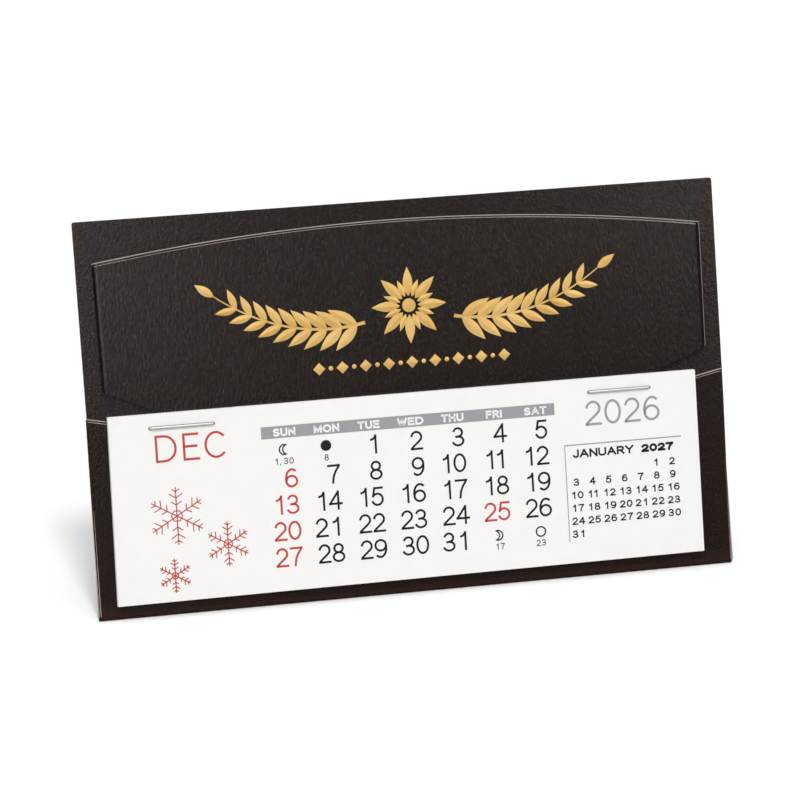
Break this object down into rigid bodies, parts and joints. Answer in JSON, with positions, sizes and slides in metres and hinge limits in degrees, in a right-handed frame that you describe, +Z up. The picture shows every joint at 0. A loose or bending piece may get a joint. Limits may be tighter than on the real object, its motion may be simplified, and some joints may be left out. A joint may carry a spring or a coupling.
{
  "type": "easel desk calendar",
  "caption": "Free-standing easel desk calendar: folded leatherette card with an arched head panel, a fold-out back leg and a stapled pad of month leaves that lift.",
  "frame": {"origin": "on the table, under the middle of the bounding box", "axes": "+X to the right of someone who reads the calendar, the front faces -Y, +Z up"},
  "size_m": [0.143, 0.0238, 0.0829],
  "materials": {
    "leatherette": "black grained leatherette sheet, satin",
    "backing_card": "plain grey card",
    "paper": "smooth white printed paper",
    "staple_wire": "bright drawn wire"
  },
  "bodies": {
    "stand": {"cover_card_outer": "leatherette", "cover_card_inner": "leatherette", "easel_card_face": "leatherette", "easel_card_liner": "leatherette", "pad_backing": "backing_card", "leaf_stubs": "paper", "staple_left": "staple_wire", "staple_right": "staple_wire"},
    "easel_leg": {"easel_leg_face": "leatherette", "easel_leg_liner": "leatherette"},
    "leaf_01_dec": {"leaf_01_dec": "paper"},
    "leaf_02_jan": {"leaf_02_jan": "paper"},
    "leaf_03_feb": {"leaf_03_feb": "paper"},
    "leaf_04_mar": {"leaf_04_mar": "paper"},
    "leaf_05_apr": {"leaf_05_apr": "paper"},
    "leaf_06_may": {"leaf_06_may": "paper"},
    "leaf_07_jun": {"leaf_07_jun": "paper"},
    "leaf_08_jul": {"leaf_08_jul": "paper"},
    "leaf_09_aug": {"leaf_09_aug": "paper"},
    "leaf_10_sep": {"leaf_10_sep": "paper"},
    "leaf_11_oct": {"leaf_11_oct": "paper"},
    "leaf_12_nov": {"leaf_12_nov": "paper"},
    "leaf_13_dec": {"leaf_13_dec": "paper"}
  },
  "joints": [
    {"name": "leg_fold", "type": "hinge", "parent": "stand", "child": "easel_leg", "pos_m": [0, 0.00094, 0.03688], "axis": [-1, 0, 0], "range_deg": [0, 28]},
    {"name": "lift_leaf_13_dec", "type": "hinge", "parent": "stand", "child": "leaf_13_dec", "pos_m": [0, -0.00276, 0.03893], "axis": [-1, 0, 0], "range_deg": [0, 3.5]},
    {"name": "lift_leaf_12_nov", "type": "hinge", "parent": "leaf_13_dec", "child": "leaf_12_nov", "pos_m": [0, -0.00276, 0.03893], "axis": [-1, 0, 0], "range_deg": [0, 3.5]},
    {"name": "lift_leaf_11_oct", "type": "hinge", "parent": "leaf_12_nov", "child": "leaf_11_oct", "pos_m": [0, -0.00276, 0.03893], "axis": [-1, 0, 0], "range_deg": [0, 3.5]},
    {"name": "lift_leaf_10_sep", "type": "hinge", "parent": "leaf_11_oct", "child": "leaf_10_sep", "pos_m": [0, -0.00276, 0.03893], "axis": [-1, 0, 0], "range_deg": [0, 3.5]},
    {"name": "lift_leaf_09_aug", "type": "hinge", "parent": "leaf_10_sep", "child": "leaf_09_aug", "pos_m": [0, -0.00276, 0.03893], "axis": [-1, 0, 0], "range_deg": [0, 3.5]},
    {"name": "lift_leaf_08_jul", "type": "hinge", "parent": "leaf_09_aug", "child": "leaf_08_jul", "pos_m": [0, -0.00276, 0.03893], "axis": [-1, 0, 0], "range_deg": [0, 3.5]},
    {"name": "lift_leaf_07_jun", "type": "hinge", "parent": "leaf_08_jul", "child": "leaf_07_jun", "pos_m": [0, -0.00276, 0.03893], "axis": [-1, 0, 0], "range_deg": [0, 3.5]},
    {"name": "lift_leaf_06_may", "type": "hinge", "parent": "leaf_07_jun", "child": "leaf_06_may", "pos_m": [0, -0.00276, 0.03893], "axis": [-1, 0, 0], "range_deg": [0, 3.5]},
    {"name": "lift_leaf_05_apr", "type": "hinge", "parent": "leaf_06_may", "child": "leaf_05_apr", "pos_m": [0, -0.00276, 0.03893], "axis": [-1, 0, 0], "range_deg": [0, 3.5]},
    {"name": "lift_leaf_04_mar", "type": "hinge", "parent": "leaf_05_apr", "child": "leaf_04_mar", "pos_m": [0, -0.00276, 0.03893], "axis": [-1, 0, 0], "range_deg": [0, 3.5]},
    {"name": "lift_leaf_03_feb", "type": "hinge", "parent": "leaf_04_mar", "child": "leaf_03_feb", "pos_m": [0, -0.00276, 0.03893], "axis": [-1, 0, 0], "range_deg": [0, 3.5]},
    {"name": "lift_leaf_02_jan", "type": "hinge", "parent": "leaf_03_feb", "child": "leaf_02_jan", "pos_m": [0, -0.00276, 0.03893], "axis": [-1, 0, 0], "range_deg": [0, 3.5]},
    {"name": "lift_leaf_01_dec", "type": "hinge", "parent": "leaf_02_jan", "child": "leaf_01_dec", "pos_m": [0, -0.00276, 0.03893], "axis": [-1, 0, 0], "range_deg": [0, 105]}
  ]
}
